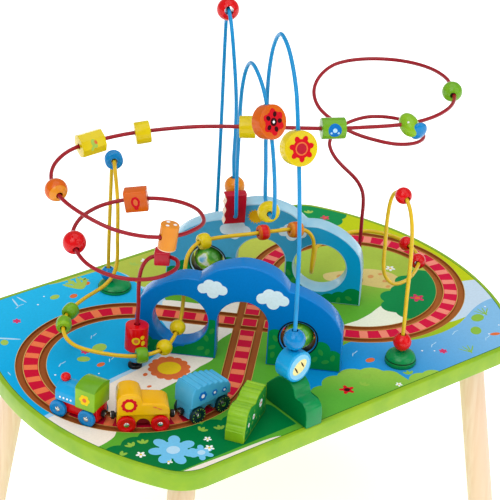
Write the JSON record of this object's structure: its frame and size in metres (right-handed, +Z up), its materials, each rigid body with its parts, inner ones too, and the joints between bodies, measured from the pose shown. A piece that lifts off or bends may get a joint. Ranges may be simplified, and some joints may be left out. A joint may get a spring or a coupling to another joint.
{
  "type": "train table",
  "caption": "Low play table: a board with a figure-eight groove track, arched bridges with turning globes, wire loops with wooden beads, and a small magnetic train.",
  "frame": {"origin": "centre of the bounding box at floor level, under the crossing of the track", "axes": "+X along the board towards its right end, +Y from the front edge, where the bush block stands, to the back edge, +Z up"},
  "size_m": [0.621, 0.414, 0.6797],
  "materials": {
    "blue_wire_coating": "gloss",
    "board_print": "satin",
    "dome_dark_green": "gloss",
    "leg_beech": "satin",
    "paint_amber": "gloss",
    "paint_dark_green": "gloss",
    "paint_leaf_green": "gloss",
    "paint_light_blue": "gloss",
    "paint_lime": "gloss",
    "paint_orange": "gloss",
    "paint_red": "gloss",
    "paint_royal_blue": "gloss",
    "paint_sky_blue": "gloss",
    "paint_wire_blue": "gloss",
    "paint_yellow": "gloss",
    "red_wire_coating": "gloss",
    "wheel_red": "gloss",
    "wheel_teal": "gloss",
    "wheel_wire_blue": "gloss",
    "yellow_wire_coating": "gloss"
  },
  "bodies": {
    "table": {"tabletop": "board_print", "leg_front_left": "leg_beech", "leg_front_right": "leg_beech", "leg_rear_left": "leg_beech", "leg_rear_right": "leg_beech", "front_bridge": "paint_royal_blue", "rear_bridge": "paint_sky_blue", "bush_block": "paint_dark_green", "hill_block": "paint_lime", "yellow_wire": "yellow_wire_coating", "blue_wire": "blue_wire_coating", "red_wire": "red_wire_coating", "dome_foot_left": "dome_dark_green", "dome_foot_right": "dome_dark_green"},
    "engine": {"engine": "paint_red"},
    "amber_car": {"amber_car": "paint_amber"},
    "ribbed_car": {"ribbed_car": "paint_light_blue"},
    "engine_front_wheels": {"engine_front_wheels": "wheel_wire_blue"},
    "engine_rear_wheels": {"engine_rear_wheels": "wheel_wire_blue"},
    "amber_car_front_wheels": {"amber_car_front_wheels": "wheel_red"},
    "amber_car_rear_wheels": {"amber_car_rear_wheels": "wheel_red"},
    "ribbed_car_front_wheels": {"ribbed_car_front_wheels": "wheel_teal"},
    "ribbed_car_rear_wheels": {"ribbed_car_rear_wheels": "wheel_teal"},
    "front_globe": {"front_globe": "paint_leaf_green"},
    "rear_globe": {"rear_globe": "paint_leaf_green"},
    "rear_foot_ball": {"rear_foot_ball": "paint_wire_blue"},
    "blue_top_bead": {"blue_top_bead": "paint_wire_blue"},
    "green_bead_rear": {"green_bead_rear": "paint_leaf_green"},
    "green_bead_front": {"green_bead_front": "paint_leaf_green"},
    "lime_bead": {"lime_bead": "paint_lime"},
    "yellow_bead_low": {"yellow_bead_low": "paint_yellow"},
    "yellow_bead_high": {"yellow_bead_high": "paint_yellow"},
    "yellow_bead_window": {"yellow_bead_window": "paint_yellow"},
    "red_spool": {"red_spool": "paint_red"},
    "orange_spool": {"orange_spool": "paint_orange"},
    "red_bead_rear": {"red_bead_rear": "paint_red"},
    "red_bead_front": {"red_bead_front": "paint_red"},
    "red_top_ball": {"red_top_ball": "paint_red"},
    "red_foot_ball": {"red_foot_ball": "paint_red"},
    "red_peak_ball": {"red_peak_ball": "paint_red"},
    "orange_drop_ball": {"orange_drop_ball": "paint_orange"},
    "red_wave_tile": {"red_wave_tile": "paint_red"},
    "orange_disc": {"orange_disc": "paint_orange"},
    "yellow_drop_bead": {"yellow_drop_bead": "paint_yellow"},
    "yellow_disc": {"yellow_disc": "paint_yellow"},
    "blue_ball": {"blue_ball": "paint_wire_blue"},
    "blue_disc": {"blue_disc": "paint_light_blue"},
    "sky_foot_ball": {"sky_foot_ball": "paint_light_blue"},
    "red_cylinder": {"red_cylinder": "paint_red"},
    "red_block": {"red_block": "paint_red"},
    "red_loop_ball": {"red_loop_ball": "paint_red"},
    "orange_block": {"orange_block": "paint_orange"},
    "orange_barrel": {"orange_barrel": "paint_orange"},
    "orange_loop_ball": {"orange_loop_ball": "paint_orange"},
    "yellow_prism": {"yellow_prism": "paint_yellow"},
    "yellow_cylinder": {"yellow_cylinder": "paint_yellow"},
    "yellow_middle_bead": {"yellow_middle_bead": "paint_yellow"},
    "green_cylinder": {"green_cylinder": "paint_leaf_green"},
    "lime_bug": {"lime_bug": "paint_lime"},
    "green_loop_ball": {"green_loop_ball": "paint_leaf_green"}
  },
  "joints": [
    {"name": "engine_run", "type": "hinge", "parent": "table", "child": "engine", "pos_m": [-0.16405, 0, 0.28], "axis": [0, 0, 1], "range_deg": [-140, 18]},
    {"name": "amber_car_run", "type": "hinge", "parent": "table", "child": "amber_car", "pos_m": [-0.16405, 0, 0.28], "axis": [0, 0, 1], "range_deg": [-140, 18]},
    {"name": "ribbed_car_run", "type": "hinge", "parent": "table", "child": "ribbed_car", "pos_m": [-0.16405, 0, 0.28], "axis": [0, 0, 1], "range_deg": [-140, 18]},
    {"name": "engine_front_wheels_spin", "type": "hinge", "parent": "engine", "child": "engine_front_wheels", "pos_m": [-0.27606, -0.03017, 0.2873], "axis": [0.9135, 0.4067, 0], "continuous": true},
    {"name": "engine_rear_wheels_spin", "type": "hinge", "parent": "engine", "child": "engine_rear_wheels", "pos_m": [-0.26142, -0.06305, 0.2873], "axis": [0.9135, 0.4067, 0], "continuous": true},
    {"name": "amber_car_front_wheels_spin", "type": "hinge", "parent": "amber_car", "child": "amber_car_front_wheels", "pos_m": [-0.23772, -0.0896, 0.2873], "axis": [0.5075, 0.8616, 0], "continuous": true},
    {"name": "amber_car_rear_wheels_spin", "type": "hinge", "parent": "amber_car", "child": "amber_car_rear_wheels", "pos_m": [-0.2067, -0.10787, 0.2873], "axis": [0.5075, 0.8616, 0], "continuous": true},
    {"name": "ribbed_car_front_wheels_spin", "type": "hinge", "parent": "ribbed_car", "child": "ribbed_car_front_wheels", "pos_m": [-0.17199, -0.11573, 0.2873], "axis": [-0.0872, 0.9962, 0], "continuous": true},
    {"name": "ribbed_car_rear_wheels_spin", "type": "hinge", "parent": "ribbed_car", "child": "ribbed_car_rear_wheels", "pos_m": [-0.13613, -0.11259, 0.2873], "axis": [-0.0872, 0.9962, 0], "continuous": true},
    {"name": "front_globe_spin", "type": "hinge", "parent": "table", "child": "front_globe", "pos_m": [-0.00834, -0.09815, 0.3193], "axis": [0, 0, 1], "continuous": true},
    {"name": "rear_globe_spin", "type": "hinge", "parent": "table", "child": "rear_globe", "pos_m": [0.01011, 0.09638, 0.3193], "axis": [0, 0, 1], "continuous": true},
    {"name": "rear_foot_ball_slide", "type": "slide", "parent": "table", "child": "rear_foot_ball", "axis": [0.0028, 0.0017, 1], "range_m": [0, 0.1]},
    {"name": "blue_top_bead_spin", "type": "hinge", "parent": "table", "child": "blue_top_bead", "pos_m": [-0.10708, 0.13089, 0.46612], "axis": [-0.4827, -0.8642, 0.1421], "continuous": true},
    {"name": "green_bead_rear_spin", "type": "hinge", "parent": "table", "child": "green_bead_rear", "pos_m": [-0.19674, 0.08147, 0.31906], "axis": [-0.9147, -0.356, -0.1911], "continuous": true},
    {"name": "green_bead_front_spin", "type": "hinge", "parent": "table", "child": "green_bead_front", "pos_m": [-0.21557, 0.06622, 0.31569], "axis": [-0.5948, -0.7947, -0.1209], "continuous": true},
    {"name": "lime_bead_slide", "type": "slide", "parent": "table", "child": "lime_bead", "axis": [0.925, -0.3797, 0.0102], "range_m": [-0.008, 0.004]},
    {"name": "yellow_bead_low_spin", "type": "hinge", "parent": "table", "child": "yellow_bead_low", "pos_m": [-0.14618, -0.03126, 0.31304], "axis": [0.9669, 0.2259, 0.1187], "continuous": true},
    {"name": "yellow_bead_high_spin", "type": "hinge", "parent": "table", "child": "yellow_bead_high", "pos_m": [-0.11637, -0.01469, 0.32028], "axis": [0.7552, 0.576, 0.313], "continuous": true},
    {"name": "yellow_bead_window_spin", "type": "hinge", "parent": "table", "child": "yellow_bead_window", "pos_m": [-0.05204, 0.02755, 0.39191], "axis": [0.9928, -0.1124, 0.041], "continuous": true},
    {"name": "red_spool_slide", "type": "slide", "parent": "table", "child": "red_spool", "axis": [0.9578, -0.2861, -0.0278], "range_m": [-0.025, 0.005]},
    {"name": "orange_spool_slide", "type": "slide", "parent": "table", "child": "orange_spool", "axis": [0.9592, -0.2564, -0.1191], "range_m": [-0.012, 0.003]},
    {"name": "red_bead_rear_spin", "type": "hinge", "parent": "table", "child": "red_bead_rear", "pos_m": [0.24626, 0.00314, 0.3108], "axis": [-0.2006, -0.9775, 0.0647], "continuous": true},
    {"name": "red_bead_front_spin", "type": "hinge", "parent": "table", "child": "red_bead_front", "pos_m": [0.22264, -0.04368, 0.31555], "axis": [-0.7338, -0.6694, 0.116], "continuous": true},
    {"name": "red_top_ball_spin", "type": "hinge", "parent": "table", "child": "red_top_ball", "pos_m": [0.10357, -0.12793, 0.47642], "axis": [-0.2349, -0.9659, -0.1089], "continuous": true},
    {"name": "red_foot_ball_slide", "type": "slide", "parent": "table", "child": "red_foot_ball", "axis": [-0.0006, -0.0009, 1], "range_m": [0, 0.038]},
    {"name": "red_peak_ball_spin", "type": "hinge", "parent": "table", "child": "red_peak_ball", "pos_m": [0.04494, 0.12738, 0.61963], "axis": [-0.5009, -0.833, 0.2352], "continuous": true},
    {"name": "orange_drop_ball_slide", "type": "slide", "parent": "table", "child": "orange_drop_ball", "axis": [0.0461, 0.1034, 0.9936], "range_m": [-0.003, 0.014]},
    {"name": "red_wave_tile_swing", "type": "hinge", "parent": "table", "child": "red_wave_tile", "pos_m": [0.01457, 0.05892, 0.39307], "axis": [-0.414, -0.9077, -0.0686], "range_deg": [-30, 150]},
    {"name": "orange_disc_slide", "type": "slide", "parent": "table", "child": "orange_disc", "axis": [0.0477, 0.3492, 0.9358], "range_m": [-0.004, 0.002]},
    {"name": "yellow_drop_bead_spin", "type": "hinge", "parent": "table", "child": "yellow_drop_bead", "pos_m": [-0.01844, -0.04352, 0.45286], "axis": [0.4224, 0.9064, -0.0076], "continuous": true},
    {"name": "yellow_disc_slide", "type": "slide", "parent": "table", "child": "yellow_disc", "axis": [0.1254, 0.2943, 0.9475], "range_m": [-0.004, 0.01]},
    {"name": "blue_ball_slide", "type": "slide", "parent": "table", "child": "blue_ball", "axis": [-0.0067, 0.0129, 0.9999], "range_m": [0, 0.05]},
    {"name": "blue_disc_spin", "type": "hinge", "parent": "table", "child": "blue_disc", "pos_m": [-0.07634, -0.16947, 0.342], "axis": [0.0152, -0.0055, -0.9999], "continuous": true},
    {"name": "sky_foot_ball_spin", "type": "hinge", "parent": "table", "child": "sky_foot_ball", "pos_m": [-0.16464, -0.00237, 0.29315], "axis": [0.0671, 0.0485, 0.9966], "continuous": true},
    {"name": "red_cylinder_slide", "type": "slide", "parent": "table", "child": "red_cylinder", "axis": [0.0671, 0.0485, 0.9966], "range_m": [0, 0.028]},
    {"name": "red_block_spin", "type": "hinge", "parent": "table", "child": "red_block", "pos_m": [-0.13935, -0.01228, 0.41798], "axis": [0.762, -0.6472, 0.0233], "continuous": true},
    {"name": "red_loop_ball_spin", "type": "hinge", "parent": "table", "child": "red_loop_ball", "pos_m": [-0.21707, 0.04353, 0.43233], "axis": [0.3956, 0.8978, 0.1933], "continuous": true},
    {"name": "orange_block_spin", "type": "hinge", "parent": "table", "child": "orange_block", "pos_m": [-0.13145, 0.05053, 0.45803], "axis": [0.7483, -0.6408, 0.1716], "continuous": true},
    {"name": "orange_barrel_spin", "type": "hinge", "parent": "table", "child": "orange_barrel", "pos_m": [-0.17183, -0.06608, 0.47783], "axis": [-0.9752, 0.1901, 0.1133], "continuous": true},
    {"name": "orange_loop_ball_spin", "type": "hinge", "parent": "table", "child": "orange_loop_ball", "pos_m": [-0.23773, 0.04791, 0.50049], "axis": [0.2504, 0.9646, 0.0824], "continuous": true},
    {"name": "yellow_prism_spin", "type": "hinge", "parent": "table", "child": "yellow_prism", "pos_m": [-0.16054, 0.09853, 0.51467], "axis": [0.9751, -0.1772, 0.1336], "continuous": true},
    {"name": "yellow_cylinder_slide", "type": "slide", "parent": "table", "child": "yellow_cylinder", "axis": [0.8839, -0.4467, 0.1382], "range_m": [-0.026, 0.015]},
    {"name": "yellow_middle_bead_slide", "type": "slide", "parent": "table", "child": "yellow_middle_bead", "axis": [0.7718, -0.6342, 0.0471], "range_m": [-0.04, 0.03]},
    {"name": "green_cylinder_slide", "type": "slide", "parent": "table", "child": "green_cylinder", "axis": [0.8804, -0.4743, 0.0003], "range_m": [-0.009, 0.036]},
    {"name": "lime_bug_slide", "type": "slide", "parent": "table", "child": "lime_bug", "axis": [0.9643, -0.2649, 0.0002], "range_m": [-0.02, 0.003]},
    {"name": "green_loop_ball_slide", "type": "slide", "parent": "table", "child": "green_loop_ball", "axis": [0.6092, 0.793, 0.0013], "range_m": [-0.014, 0.012]}
  ],
  "couplings": [
    {"joint": "amber_car_run", "follows": "engine_run", "ratio": 1},
    {"joint": "ribbed_car_run", "follows": "engine_run", "ratio": 1}
  ]
}
